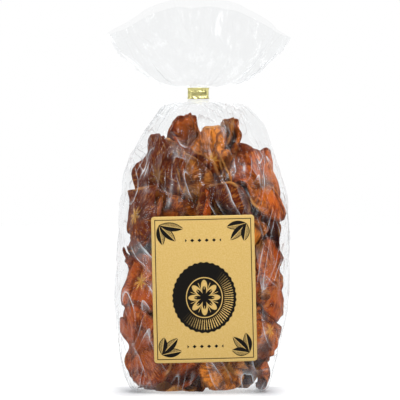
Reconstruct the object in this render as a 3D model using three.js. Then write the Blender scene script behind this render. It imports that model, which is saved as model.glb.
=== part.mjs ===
// A clear film bag of dried persimmon slices. The film is gathered at the top in a gold clip band and flares out above
// it, and a paper label is stuck to the front.
// Millimetres, +Z up. The label faces -Y, and +X is to its right. The origin is the middle of the flat base, so the bag
// stands on z = 0.

import * as THREE from "three";

const TURN = 2 * Math.PI;

// The film's outline at heights up the bag, base first. left and right are measured from the neck's axis, and depth to
// the front and to the back. The outline is a superellipse, and square is its power: 2 is an ellipse.
const FILM = {
  thickness: 0.6,
  segments: 44,
  pleats: 11,
  sections: [
    { z: 0, left: 45.5, right: 47.5, depth: 31, square: 3.2 },
    { z: 2.5, left: 49.5, right: 50.8, depth: 34, square: 3.2 },
    { z: 8, left: 52.6, right: 53, depth: 36, square: 3.1 },
    { z: 15, left: 54.8, right: 55, depth: 37.5, square: 3.0 },
    { z: 24, left: 56.8, right: 57.8, depth: 38.8, square: 2.9 },
    { z: 34, left: 58, right: 60, depth: 39.8, square: 2.8 },
    { z: 46, left: 59, right: 62.8, depth: 40.8, square: 2.7 },
    { z: 66, left: 60.3, right: 64.8, depth: 41.5, square: 2.6 },
    { z: 88, left: 59.6, right: 65.6, depth: 41.5, square: 2.6 },
    { z: 110, left: 58, right: 66.4, depth: 41, square: 2.5 },
    { z: 128, left: 57.6, right: 66.2, depth: 40, square: 2.4 },
    { z: 146, left: 56.4, right: 63.2, depth: 38, square: 2.3 },
    { z: 158, left: 54.2, right: 59.8, depth: 36, square: 2.25 },
    { z: 169, left: 50.6, right: 56.2, depth: 33.6, square: 2.2 },
    { z: 180, left: 44.8, right: 52, depth: 31, square: 2.1 },
    { z: 190, left: 38.8, right: 48, depth: 28, square: 2.1 },
    { z: 200, left: 32, right: 41.6, depth: 24, square: 2 },
    { z: 207, left: 26.6, right: 34.5, depth: 19, square: 2 },
    { z: 210.4, left: 21, right: 28, depth: 12, square: 2 },
    { z: 212.2, left: 13, right: 17, depth: 6, square: 2.1 },
  ],
  pleatFrom: 150,
  pleatTop: 0.05,
};

// The gather that the clip holds, and the film's flare above it. side is towards -X or +X, front towards -Y and +Y.
const NECK = { from: 212.9, to: 222.6, width: 6.7, depth: 1.7, square: 2.4 };
const FLARE = {
  rows: 7,
  left: 67.8,
  right: 64.8,
  depth: 39,
  sideTop: 259.5,
  frontTop: 283.5,
  sidePull: [28, 216, 52, 238],
  frontPull: [16, 222, 29, 254],
  waves: 11,
  wave: 2.2,
};

const CLIP = { from: 213.5, height: 8, width: 16, depth: 5.8, band: 0.7, slit: 0.8, arcPoints: 10 };

// A paper label of A7 size with round corners. turn is how far it was stuck on askew, anticlockwise from the front.
const LABEL = {
  width: 74,
  height: 105,
  thickness: 0.5,
  corner: 2.5,
  centre: { x: 4.2, z: 74.4 },
  turn: THREE.MathUtils.degToRad(1.3),
  standOff: 0.75,
  ringShares: [0.3, 0.54, 0.73, 0.88, 1],
  segments: 44,
};

// The fruit. Each slice is a round dried slice on a net of rings and spokes, that curls, and is bent by its neighbours.
const SLICE = {
  count: 56,
  rings: 4,
  segments: 14,
  ringShares: [0, 0.27, 0.53, 0.78, 1],
  radius: { least: 22, most: 29 },
  halfThickness: { most: 2.1, least: 0.45 },
  gap: 0.4,
  wallGap: 2.8,
};

// How the slices come to lie in the bag: they start small and apart, grow to full size, sag a little, and push one
// another and the film's inside away.
const PACKING = {
  seed: 10,
  startScale: 0.35,
  growSteps: 260,
  settleSteps: 120,
  passes: 5,
  lookEvery: 4,
  sag: 0.05,
  reach: 4.1,
  bendGive: 0.22,
  pileTop: 204,
};

// Random numbers from 0 to 1 that are the same on each run.
function seededRandom(seed) {
  let state = seed;
  return () => {
    state = (state + 0x6d2b79f5) | 0;
    let t = Math.imul(state ^ (state >>> 15), 1 | state);
    t = (t + Math.imul(t ^ (t >>> 7), 61 | t)) ^ t;
    return ((t ^ (t >>> 14)) >>> 0) / 4294967296;
  };
}

// A closed surface from rows of points. The first and last rows are one point each, and the rows between are rings of
// equal count. Rows from the one at mirrorFrom on are split along the other diagonal, so that the two faces of a thin
// sheet are split alike.
function closedGrid(rows, mirrorFrom) {
  const count = rows[1].length;
  const first = (row) => (row === 0 ? 0 : 1 + (row - 1) * count);
  const at = (row, k) => first(row) + (rows[row].length === 1 ? 0 : k % count);
  const faces = [];
  for (let row = 0; row + 1 < rows.length; row++) {
    for (let k = 0; k < count; k++) {
      const [a, b, c, d] = [at(row, k), at(row + 1, k), at(row + 1, k + 1), at(row, k + 1)];
      if (a === d) faces.push(a, b, c);
      else if (b === c) faces.push(a, b, d);
      else if (row < mirrorFrom) faces.push(a, b, c, a, c, d);
      else faces.push(a, b, d, b, c, d);
    }
  }
  const geometry = new THREE.BufferGeometry();
  geometry.setFromPoints(rows.flat());
  geometry.setIndex(faces);
  geometry.computeVertexNormals();
  return geometry;
}

// The unit normals of a grid of rings, by the cross product of the steps along and round it. A first row of one point
// faces straight down.
function gridNormals(rows) {
  return rows.map((row, r) =>
    row.map((point, k) => {
      if (row.length === 1) return new THREE.Vector3(0, 0, -1);
      const ahead = rows[Math.min(r + 1, rows.length - 1)];
      const behind = rows[r - 1];
      const along = ahead[k].clone().sub(behind.length === 1 ? behind[0] : behind[k]);
      const round = row[(k + 1) % row.length].clone().sub(row[(k + row.length - 1) % row.length]);
      return along.cross(round).normalize();
    }),
  );
}

function outlineRadius({ left, right, depth, square }, angle) {
  const c = Math.cos(angle);
  const s = Math.sin(angle);
  const across = Math.abs(c / (c < 0 ? left : right)) ** square;
  return (across + Math.abs(s / depth) ** square) ** (-1 / square);
}

// The film's outline at any height, between the two sections that it lies between.
function sectionAt(z) {
  const { sections } = FILM;
  const above = sections.findIndex((section) => section.z >= z);
  if (above === 0) return sections[0];
  if (above < 0) return sections[sections.length - 1];
  const [low, high] = [sections[above - 1], sections[above]];
  const share = (z - low.z) / (high.z - low.z);
  const between = (key) => THREE.MathUtils.lerp(low[key], high[key], share);
  return {
    z,
    left: between("left"),
    right: between("right"),
    depth: between("depth"),
    square: between("square"),
  };
}

const polar = (angle, radius, z) =>
  new THREE.Vector3(Math.cos(angle) * radius, Math.sin(angle) * radius, z);

// Angles run clockwise from above, so that a grid from the base upwards faces outwards.
const filmAngles = Array.from({ length: FILM.segments }, (_, k) => (-k / FILM.segments) * TURN);

function bezier(share, ...points) {
  const [a, b, c, d] = points;
  const rest = 1 - share;
  return rest ** 3 * a + 3 * rest ** 2 * share * b + 3 * rest * share ** 2 * c + share ** 3 * d;
}

// A point of the flare. At share 0 it is on the neck and at share 1 on the mouth's edge, which is low at the two side
// tips and high in front and behind.
function flarePoint(angle, share) {
  const side = Math.cos(angle) ** 2;
  const mix = (front, sides) => THREE.MathUtils.lerp(front, sides, side);
  const neckRadius = outlineRadius({ ...NECK, left: NECK.width, right: NECK.width }, angle);
  const mouthRadius = outlineRadius({ ...FLARE, square: 2 }, angle);
  const mouthTop = THREE.MathUtils.lerp(FLARE.frontTop, FLARE.sideTop, side ** 2.2);
  const [sideR1, sideZ1, sideR2, sideZ2] = FLARE.sidePull;
  const [frontR1, frontZ1, frontR2, frontZ2] = FLARE.frontPull;
  const wave = FLARE.wave * share ** 1.3 * Math.cos(FLARE.waves * angle + Math.sin(2 * angle));
  const radius = bezier(share, neckRadius, mix(frontR1, sideR1), mix(frontR2, sideR2), mouthRadius);
  const z = bezier(share, NECK.to, mix(frontZ1, sideZ1), mix(frontZ2, sideZ2), mouthTop);
  return polar(angle, radius + wave, z - 0.25 * wave);
}

function film() {
  const [base] = FILM.sections;
  const rows = [[new THREE.Vector3(0, 0, 0)]];
  rows.push(filmAngles.map((angle) => polar(angle, 0.55 * outlineRadius(base, angle), 0)));
  for (const section of FILM.sections) {
    const climb = Math.max(0, (section.z - FILM.pleatFrom) / (NECK.from - FILM.pleatFrom));
    const pleat = FILM.pleatTop * climb;
    rows.push(
      filmAngles.map((angle) => {
        const fold = 1 + pleat * Math.cos(FILM.pleats * angle + Math.sin(2 * angle));
        return polar(angle, outlineRadius(section, angle) * fold, section.z);
      }),
    );
  }
  const gather = { ...NECK, left: NECK.width, right: NECK.width };
  rows.push(filmAngles.map((angle) => polar(angle, outlineRadius(gather, angle), NECK.from)));
  for (let row = 0; row <= FLARE.rows; row++)
    rows.push(filmAngles.map((angle) => flarePoint(angle, row / FLARE.rows)));
  const normals = gridNormals(rows);
  const inner = rows.map((row, r) =>
    row.map((point, k) => point.clone().addScaledVector(normals[r][k], -FILM.thickness)),
  );
  return closedGrid([...rows, ...inner.reverse()], rows.length);
}

// A stadium, of that width and depth, as points all round.
function stadium(width, depth, points) {
  const arc = depth / 2;
  const straight = width / 2 - arc;
  return Array.from({ length: 2 * points }, (_, k) => {
    const side = k < points ? 1 : -1;
    const angle = ((k % points) / (points - 1)) * Math.PI - Math.PI / 2;
    return new THREE.Vector2(side * (straight + arc * Math.cos(angle)), side * arc * Math.sin(angle));
  });
}

// The clip band is bent round the gather, and its two ends nearly meet behind it.
function clip() {
  const outer = stadium(CLIP.width, CLIP.depth, CLIP.arcPoints);
  const inner = stadium(CLIP.width - 2 * CLIP.band, CLIP.depth - 2 * CLIP.band, CLIP.arcPoints);
  const half = CLIP.arcPoints;
  const back = CLIP.depth / 2;
  const end = CLIP.slit / 2;
  const openAtBack = (ring, y) => [
    new THREE.Vector2(-end, y),
    ...ring.slice(half),
    ...ring.slice(0, half),
    new THREE.Vector2(end, y),
  ];
  const outline = [...openAtBack(outer, back), ...openAtBack(inner, back - CLIP.band).reverse()];
  const geometry = new THREE.ExtrudeGeometry(new THREE.Shape(outline), {
    depth: CLIP.height,
    bevelEnabled: false,
  });
  geometry.translate(0, 0, CLIP.from);
  return geometry;
}

// The front of the film at x and z.
function frontOf(x, z) {
  const { left, right, depth, square } = sectionAt(z);
  const share = Math.abs(x / (x < 0 ? left : right));
  return -depth * (1 - share ** square) ** (1 / square);
}

// The distance from the middle of a rectangle with round corners to its edge, in the direction of an angle.
function roundedEdge(width, height, corner, angle) {
  const direction = new THREE.Vector2(Math.cos(angle), Math.sin(angle));
  const toSide = Math.min(
    width / 2 / Math.max(1e-9, Math.abs(direction.x)),
    height / 2 / Math.max(1e-9, Math.abs(direction.y)),
  );
  const point = direction.clone().multiplyScalar(toSide);
  const core = new THREE.Vector2(width / 2 - corner, height / 2 - corner);
  const cut = new THREE.Vector2(Math.abs(point.x) - core.x, Math.abs(point.y) - core.y);
  if (cut.x <= 0 || cut.y <= 0) return toSide;
  const centre = new THREE.Vector2(core.x, core.y);
  const ray = new THREE.Vector2(Math.abs(direction.x), Math.abs(direction.y));
  const middle = ray.dot(centre);
  return middle + Math.sqrt(middle ** 2 - centre.lengthSq() + corner ** 2);
}

function label() {
  const { width, height, corner, centre, turn, ringShares, segments } = LABEL;
  const cornerAngle = Math.atan2(height / 2 - corner * 0.3, width / 2 - corner * 0.3);
  const quarter = segments / 4;
  // The spokes are spread so that one meets the middle of each round corner.
  const spokes = Array.from({ length: segments }, (_, k) => {
    const [part, step] = [Math.floor(k / quarter), (k % quarter) / quarter];
    const low = [-cornerAngle, cornerAngle, Math.PI - cornerAngle, Math.PI + cornerAngle][part];
    const high = [cornerAngle, Math.PI - cornerAngle, Math.PI + cornerAngle, TURN - cornerAngle][part];
    return THREE.MathUtils.lerp(low, high, step);
  });
  const sheet = (share, out) =>
    spokes.map((angle) => {
      const radius = share * roundedEdge(width, height, corner, angle);
      const x = centre.x + radius * Math.cos(angle + turn);
      const z = centre.z + radius * Math.sin(angle + turn);
      return new THREE.Vector3(x, frontOf(x, z) - out, z);
    });
  const face = (out) => [
    [new THREE.Vector3(centre.x, frontOf(centre.x, centre.z) - out, centre.z)],
    ...ringShares.map((share) => sheet(share, out)),
  ];
  const front = face(LABEL.standOff + LABEL.thickness);
  const back = face(LABEL.standOff);
  return closedGrid([...front, ...back.reverse()], front.length);
}

// The net of one slice: vertex 0 is its middle, and the rest are rings from the middle out.
const netVertex = (ring, spoke) =>
  ring === 0 ? 0 : 1 + (ring - 1) * SLICE.segments + ((spoke + SLICE.segments) % SLICE.segments);
const NET_SIZE = 1 + SLICE.rings * SLICE.segments;

function netTriangles() {
  const triangles = [];
  for (let spoke = 0; spoke < SLICE.segments; spoke++) {
    triangles.push([0, netVertex(1, spoke), netVertex(1, spoke + 1)]);
    for (let ring = 1; ring < SLICE.rings; ring++) {
      const [a, b] = [netVertex(ring, spoke), netVertex(ring + 1, spoke)];
      const [c, d] = [netVertex(ring + 1, spoke + 1), netVertex(ring, spoke + 1)];
      triangles.push([a, b, c], [a, c, d]);
    }
  }
  return triangles;
}

// Pairs of net vertices whose distance is held: give is 1 for the flesh's own stretch, and less for its bending.
function netLinks() {
  const links = [];
  const half = SLICE.segments / 2;
  for (let spoke = 0; spoke < SLICE.segments; spoke++) {
    if (spoke < half) links.push([netVertex(1, spoke), netVertex(1, spoke + half), PACKING.bendGive]);
    for (let ring = 0; ring < SLICE.rings; ring++) {
      const here = netVertex(ring, spoke);
      links.push([here, netVertex(ring + 1, spoke), 1]);
      links.push([netVertex(ring + 1, spoke), netVertex(ring + 1, spoke + 1), 1]);
      links.push([netVertex(ring + 1, spoke), netVertex(ring + 1, spoke + 2), PACKING.bendGive]);
      if (ring > 0) {
        links.push([here, netVertex(ring + 1, spoke + 1), 0.6]);
        links.push([here, netVertex(ring + 1, spoke - 1), 0.6]);
      }
      if (ring + 2 <= SLICE.rings) links.push([here, netVertex(ring + 2, spoke), PACKING.bendGive]);
    }
  }
  return links;
}

// Points spread over a slice's triangles, each as three net vertices and their weights. They are what touches.
function netTouchPoints() {
  const found = new Map();
  netTriangles().forEach((corners) => {
    const outer = Math.max(...corners) > 2 * SLICE.segments;
    const steps = outer ? 3 : 2;
    for (let i = 0; i <= steps; i++) {
      for (let j = 0; i + j <= steps; j++) {
        const weights = [i / steps, j / steps, (steps - i - j) / steps];
        const used = corners.map((v, n) => [v, weights[n]]).filter(([, w]) => w > 0);
        const key = used
          .map(([v, w]) => v + ":" + w.toFixed(3))
          .sort()
          .join(" ");
        found.set(key, { corners, weights });
      }
    }
  });
  return [...found.values()];
}

// A slice's own shape before the others press on it: nearly round, with four faint lobes, and dished, saddled or
// rolled, with a ruffled edge.
function restSlice(random) {
  const spread = (size) => (2 * random() - 1) * size;
  const radius = THREE.MathUtils.lerp(SLICE.radius.least, SLICE.radius.most, random());
  const oval = { share: 0.05 + 0.09 * random(), at: random() * TURN };
  const [dish, saddle, saddleAt] = [spread(0.3), spread(0.42), random() * TURN];
  const ruffle = { size: 0.07 + 0.09 * random(), count: 3 + Math.floor(random() * 3), at: random() * TURN };
  const points = [new THREE.Vector3()];
  for (let ring = 1; ring <= SLICE.rings; ring++) {
    for (let spoke = 0; spoke < SLICE.segments; spoke++) {
      const angle = (spoke / SLICE.segments) * TURN;
      const share = SLICE.ringShares[ring];
      const edge = radius * (1 + oval.share * Math.cos(2 * (angle - oval.at)) + 0.025 * Math.cos(4 * angle));
      const bowl = dish * share ** 2 + saddle * share ** 2 * Math.cos(2 * (angle - saddleAt));
      const wave = ruffle.size * share ** 3 * Math.cos(ruffle.count * angle + ruffle.at);
      points.push(polar(angle, share * edge, radius * (bowl + wave)));
    }
  }
  return points;
}

// How far the fruit may reach from the axis: the film's inside less a gap, drawn in to a dome at the top of the pile.
function fruitReach(angle, z) {
  const dome = Math.sqrt(Math.max(0, 1 - (Math.max(0, z - 150) / (PACKING.pileTop - 150)) ** 2));
  const slack = SLICE.wallGap + 5 * (1 - dome);
  return Math.min(outlineRadius(sectionAt(z), angle) - slack, 62 * dome + 4);
}

// Slices that the front shows: the place of each middle, and the way that its face looks, as angles round from the
// front and up, in degrees.
const SHOWN = [
  { x: 14, y: -17, z: 181, round: 4, up: 10 },
  { x: -12, y: -16, z: 164, round: -74, up: 4 },
  { x: -30, y: -8, z: 172, round: -40, up: -24 },
  { x: -44, y: -12, z: 138, round: -66, up: 26 },
  { x: 42, y: -10, z: 162, round: 58, up: 24 },
  { x: -24, y: -28, z: 126, round: -42, up: -32 },
  { x: 10, y: -28, z: 146, round: 24, up: -54 },
  { x: 38, y: -26, z: 122, round: 50, up: 18 },
  { x: -46, y: -22, z: 96, round: -40, up: 22 },
  { x: 54, y: -16, z: 98, round: 68, up: 0 },
  { x: -46, y: -20, z: 56, round: -30, up: -28 },
  { x: 48, y: -20, z: 60, round: 40, up: -26 },
  { x: -24, y: -27, z: 24, round: -10, up: 30 },
  { x: 28, y: -27, z: 28, round: 14, up: -20 },
];

// The middle and facing of each slice at the start. After those in front, each is the one of many random places that is
// furthest from the rest, and it faces roughly the way that the wall near it does.
function startPlaces(random) {
  const facing = (round, up) =>
    new THREE.Vector3(Math.sin(round) * Math.cos(up), -Math.cos(round) * Math.cos(up), Math.sin(up));
  const places = SHOWN.map(({ x, y, z, round, up }) => ({
    middle: new THREE.Vector3(x, y, z),
    face: facing(THREE.MathUtils.degToRad(round), THREE.MathUtils.degToRad(up)),
  }));
  while (places.length < SLICE.count) {
    let best = null;
    for (let tried = 0; tried < 60; tried++) {
      const z = 10 + random() * (PACKING.pileTop - 26);
      const angle = random() * TURN;
      const middle = polar(angle, Math.max(0, fruitReach(angle, z) - 9) * Math.sqrt(random()), z);
      const room = Math.min(...places.map((place) => place.middle.distanceTo(middle)));
      if (!best || room > best.room) best = { middle, room };
    }
    const { middle } = best;
    const wallward = Math.atan2(middle.x / 60, -middle.y / 40);
    const face = facing(wallward + (2 * random() - 1) * 1.2, (2 * random() - 1) * 0.9);
    places.push({ middle, face });
  }
  return places;
}

// Finds what is near a point, by cells of that size. Points are held by number, as x, y and z in one list.
class Cells {
  constructor(points, size) {
    this.points = points;
    this.size = size;
    this.first = new Int32Array(1 << 18).fill(-1);
    this.next = new Int32Array(points.length / 3).fill(-1);
    for (let n = 0; n < this.next.length; n++) {
      const key = this.key(...[0, 1, 2].map((axis) => Math.floor(points[n * 3 + axis] / size)));
      this.next[n] = this.first[key];
      this.first[key] = n;
    }
  }
  key(i, j, k) {
    return ((i & 63) << 12) | ((j & 63) << 6) | (k & 63);
  }
  near(x, y, z, visit) {
    const [i, j, k] = [x, y, z].map((value) => Math.floor(value / this.size));
    for (let a = i - 1; a <= i + 1; a++)
      for (let b = j - 1; b <= j + 1; b++)
        for (let c = k - 1; c <= k + 1; c++)
          for (let n = this.first[this.key(a, b, c)]; n >= 0; n = this.next[n]) visit(n);
  }
}

// The places of all slices' touch points, each a mix of three net vertices.
class TouchPoints {
  constructor(at) {
    const net = netTouchPoints();
    this.at = at;
    this.perSlice = net.length;
    this.count = SLICE.count * net.length;
    this.corners = new Int32Array(this.count * 3);
    this.weights = new Float64Array(this.count * 3);
    this.shares = new Float64Array(this.count);
    this.spots = new Float64Array(this.count * 3);
    for (let n = 0; n < this.count; n++) {
      const { corners, weights } = net[n % net.length];
      const slice = Math.floor(n / net.length);
      corners.forEach((v, k) => {
        this.corners[n * 3 + k] = (slice * NET_SIZE + v) * 3;
        this.weights[n * 3 + k] = weights[k];
      });
      this.shares[n] = 1 / weights.reduce((sum, w) => sum + w * w, 0);
    }
  }
  place() {
    const { at, corners, weights, spots } = this;
    for (let n = 0; n < spots.length; n += 3) {
      const [a, b, c] = [corners[n], corners[n + 1], corners[n + 2]];
      const [p, q, r] = [weights[n], weights[n + 1], weights[n + 2]];
      spots[n] = p * at[a] + q * at[b] + r * at[c];
      spots[n + 1] = p * at[a + 1] + q * at[b + 1] + r * at[c + 1];
      spots[n + 2] = p * at[a + 2] + q * at[b + 2] + r * at[c + 2];
    }
  }
  push(n, x, y, z) {
    const { at, corners, weights, spots } = this;
    const share = this.shares[n];
    for (let k = n * 3; k < n * 3 + 3; k++) {
      const w = weights[k] * share;
      at[corners[k]] += w * x;
      at[corners[k] + 1] += w * y;
      at[corners[k] + 2] += w * z;
    }
    spots[n * 3] += x;
    spots[n * 3 + 1] += y;
    spots[n * 3 + 2] += z;
  }
  sliceOf(n) {
    return Math.floor(n / this.perSlice);
  }
  // Pairs of touch points of different slices that are nearer than reach.
  pairs(reach) {
    const { spots } = this;
    const cells = new Cells(spots, reach);
    const found = [];
    for (let n = 0; n < this.count; n++) {
      const slice = this.sliceOf(n);
      const [x, y, z] = [spots[n * 3], spots[n * 3 + 1], spots[n * 3 + 2]];
      cells.near(x, y, z, (m) => {
        if (m <= n || this.sliceOf(m) === slice) return;
        const square = (x - spots[m * 3]) ** 2 + (y - spots[m * 3 + 1]) ** 2 + (z - spots[m * 3 + 2]) ** 2;
        if (square < reach * reach) found.push(n, m);
      });
    }
    return found;
  }
}

// The nets at the start, small and apart, as x, y and z in one list.
function startNets(rests, random) {
  const at = new Float64Array(SLICE.count * NET_SIZE * 3);
  startPlaces(random).forEach(({ middle, face }, slice) => {
    const turn = new THREE.Quaternion().setFromUnitVectors(new THREE.Vector3(0, 0, 1), face);
    const spin = new THREE.Quaternion().setFromAxisAngle(face, random() * TURN);
    rests[slice].forEach((point, v) => {
      const placed = point.clone().multiplyScalar(PACKING.startScale);
      placed.applyQuaternion(turn).applyQuaternion(spin).add(middle);
      placed.toArray(at, (slice * NET_SIZE + v) * 3);
    });
  });
  return at;
}

function holdLengths(at, links, scale) {
  for (const { a, b, give, length } of links) {
    const x = at[b] - at[a];
    const y = at[b + 1] - at[a + 1];
    const z = at[b + 2] - at[a + 2];
    const now = Math.sqrt(x * x + y * y + z * z) || 1e-9;
    const move = (0.5 * give * (now - length * scale)) / now;
    at[a] += move * x;
    at[a + 1] += move * y;
    at[a + 2] += move * z;
    at[b] -= move * x;
    at[b + 1] -= move * y;
    at[b + 2] -= move * z;
  }
}

function keepApart(touch, pairs, reach) {
  const { spots } = touch;
  for (let p = 0; p < pairs.length; p += 2) {
    const [n, m] = [pairs[p], pairs[p + 1]];
    const x = spots[n * 3] - spots[m * 3];
    const y = spots[n * 3 + 1] - spots[m * 3 + 1];
    const z = spots[n * 3 + 2] - spots[m * 3 + 2];
    const now = Math.sqrt(x * x + y * y + z * z) || 1e-9;
    if (now >= reach) continue;
    const move = (0.25 * (reach - now)) / now;
    touch.push(n, move * x, move * y, move * z);
    touch.push(m, -move * x, -move * y, -move * z);
  }
}

// fruitReach on a grid of angles and heights, for looking up fast.
class Wall {
  constructor() {
    this.around = 144;
    this.up = Math.ceil(PACKING.pileTop + 20);
    this.reach = new Float64Array(this.around * this.up);
    for (let row = 0; row < this.up; row++)
      for (let k = 0; k < this.around; k++)
        this.reach[row * this.around + k] = fruitReach((k / this.around) * TURN, row);
  }
  at(x, y, z) {
    const turn = (Math.atan2(y, x) / TURN + 1) * this.around;
    const height = Math.min(Math.max(z, 0), this.up - 1.001);
    const [k, row] = [Math.floor(turn), Math.floor(height)];
    const [across, along] = [turn - k, height - row];
    const [a, b] = [k % this.around, (k + 1) % this.around];
    const low = row * this.around;
    const high = low + this.around;
    const below = this.reach[low + a] * (1 - across) + this.reach[low + b] * across;
    const above = this.reach[high + a] * (1 - across) + this.reach[high + b] * across;
    return below * (1 - along) + above * along;
  }
}

function keepInside(touch, wall, skin) {
  const { spots } = touch;
  const floor = FILM.thickness + SLICE.gap + skin;
  for (let n = 0; n < touch.count; n++) {
    const x = spots[n * 3];
    const y = spots[n * 3 + 1];
    const z = spots[n * 3 + 2];
    const lift = Math.max(0, floor - z);
    const radius = Math.hypot(x, y) || 1e-9;
    const inward = Math.min(0, Math.max(1, wall.at(x, y, z) - skin) - radius) / radius;
    if (inward < 0 || lift > 0) touch.push(n, 0.6 * inward * x, 0.6 * inward * y, 0.6 * lift);
  }
}

// Packs the slices and gives each one's net of points as it comes to lie.
function packedSlices() {
  const random = seededRandom(PACKING.seed);
  const rests = Array.from({ length: SLICE.count }, () => restSlice(random));
  const at = startNets(rests, random);
  const links = rests.flatMap((rest, slice) =>
    netLinks().map(([a, b, give]) => ({
      a: (slice * NET_SIZE + a) * 3,
      b: (slice * NET_SIZE + b) * 3,
      give,
      length: rest[a].distanceTo(rest[b]),
    })),
  );
  const touch = new TouchPoints(at);
  const wall = new Wall();
  let pairs = [];
  for (let step = 0; step < PACKING.growSteps + PACKING.settleSteps; step++) {
    const grown = Math.min(1, step / PACKING.growSteps);
    const scale = THREE.MathUtils.lerp(PACKING.startScale, 1, grown);
    const reach = PACKING.reach * scale;
    for (let n = 2; n < at.length; n += 3) at[n] -= PACKING.sag;
    touch.place();
    if (step % PACKING.lookEvery === 0) pairs = touch.pairs(PACKING.reach + 1);
    for (let pass = 0; pass < PACKING.passes; pass++) {
      holdLengths(at, links, scale);
      touch.place();
      keepApart(touch, pairs, reach);
      keepInside(touch, wall, reach / 2);
    }
  }
  return rests.map((_, slice) =>
    Array.from({ length: NET_SIZE }, (_, v) =>
      new THREE.Vector3().fromArray(at, (slice * NET_SIZE + v) * 3),
    ),
  );
}

// The half thickness at each net vertex of each slice. Flesh is as thick as its neighbours leave room for: half of the
// way to the nearest other slice, less half of the gap.
function halfThicknesses(nets) {
  const pieces = nets.flatMap((net, slice) =>
    netTriangles().map(([a, b, c]) => ({ slice, triangle: new THREE.Triangle(net[a], net[b], net[c]) })),
  );
  const middles = pieces.flatMap(({ triangle }) => triangle.getMidpoint(new THREE.Vector3()).toArray());
  const cells = new Cells(middles, 14);
  const touchPoints = netTouchPoints();
  const closest = new THREE.Vector3();
  return nets.map((net, slice) => {
    const half = net.map(() => SLICE.halfThickness.most);
    for (const { corners, weights } of touchPoints) {
      const point = new THREE.Vector3();
      corners.forEach((v, n) => point.addScaledVector(net[v], weights[n]));
      let room = 2 * SLICE.halfThickness.most + SLICE.gap;
      cells.near(point.x, point.y, point.z, (found) => {
        if (pieces[found].slice === slice) return;
        pieces[found].triangle.closestPointToPoint(point, closest);
        room = Math.min(room, closest.distanceTo(point));
      });
      const most = Math.max(SLICE.halfThickness.least, (room - SLICE.gap) / 2);
      corners.forEach((v, n) => {
        if (weights[n] > 0) half[v] = Math.min(half[v], most);
      });
    }
    return half;
  });
}

function netNormals(net) {
  const normals = net.map(() => new THREE.Vector3());
  for (const corners of netTriangles()) {
    const [a, b, c] = corners.map((v) => net[v]);
    const normal = b.clone().sub(a).cross(c.clone().sub(a));
    corners.forEach((v) => normals[v].add(normal));
  }
  return normals.map((normal) => normal.normalize());
}

// One slice as a closed body: its upper face from the middle out, then its lower face back to the middle.
function sliceBody(net, half) {
  const normals = netNormals(net);
  const face = (side) =>
    Array.from({ length: SLICE.rings + 1 }, (_, ring) =>
      Array.from({ length: ring === 0 ? 1 : SLICE.segments }, (_, spoke) => {
        const v = netVertex(ring, spoke);
        const edge = ring === SLICE.rings ? 0.7 : 1;
        return net[v].clone().addScaledVector(normals[v], side * edge * half[v]);
      }),
    );
  const upper = face(1);
  return closedGrid([...upper, ...face(-1).reverse()], upper.length);
}

const filmMaterial = new THREE.MeshStandardMaterial({
  color: 0xf2f4f6,
  roughness: 0.12,
  metalness: 0,
  transparent: true,
  opacity: 0.25,
});
const clipMaterial = new THREE.MeshStandardMaterial({ color: 0xd9c65f, roughness: 0.28, metalness: 1 });
const labelMaterial = new THREE.MeshStandardMaterial({ color: 0xeac978, roughness: 0.75, metalness: 0 });
const fruitMaterial = new THREE.MeshStandardMaterial({ color: 0x94461f, roughness: 0.55, metalness: 0 });

function named(name, geometry, material) {
  const mesh = new THREE.Mesh(geometry, material);
  mesh.name = name;
  return mesh;
}

const bag = new THREE.Group();
bag.add(named("film_bag", film(), filmMaterial));
bag.add(named("clip_band", clip(), clipMaterial));
bag.add(named("paper_label", label(), labelMaterial));

const nets = packedSlices();
const halves = halfThicknesses(nets);
nets.forEach((net, slice) => {
  const number = String(slice + 1).padStart(2, "0");
  bag.add(named("persimmon_slice_" + number, sliceBody(net, halves[slice]), fruitMaterial));
});

// The bag's own box is centred over the origin.
const box = new THREE.Box3().setFromObject(bag);
const centre = box.getCenter(new THREE.Vector3());
bag.position.set(-centre.x, -centre.y, -box.min.z);

export default bag;
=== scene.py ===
"""A clear film bag of dried persimmon slices, closed with a gold clip band and labelled on its front.

Lengths are in metres, +Z is up, and the label faces -Y. The film, the label and each slice are finer
surfaces over the solids of the frame.
"""

import math

import bpy
import numpy as np
from bpy.props import FloatProperty, FloatVectorProperty, IntProperty, PointerProperty
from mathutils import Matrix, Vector


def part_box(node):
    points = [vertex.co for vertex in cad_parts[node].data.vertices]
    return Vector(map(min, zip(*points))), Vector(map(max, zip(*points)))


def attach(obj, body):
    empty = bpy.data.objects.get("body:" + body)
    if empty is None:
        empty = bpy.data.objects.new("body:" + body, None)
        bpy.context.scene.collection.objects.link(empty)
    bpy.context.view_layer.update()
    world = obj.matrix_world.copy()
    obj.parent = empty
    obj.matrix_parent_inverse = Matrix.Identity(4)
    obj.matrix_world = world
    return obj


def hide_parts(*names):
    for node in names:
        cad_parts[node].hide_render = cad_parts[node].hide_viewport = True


bl_info = {
    "name": "Bag of Dried Persimmon Slices",
    "version": (1, 0, 0),
    "blender": (4, 5, 0),
    "location": "3D View > Sidebar > Fruit Bag",
    "description": "Dresses a film bag of dried persimmon slices and sets a studio round it",
    "category": "Add Mesh",
}

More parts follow.
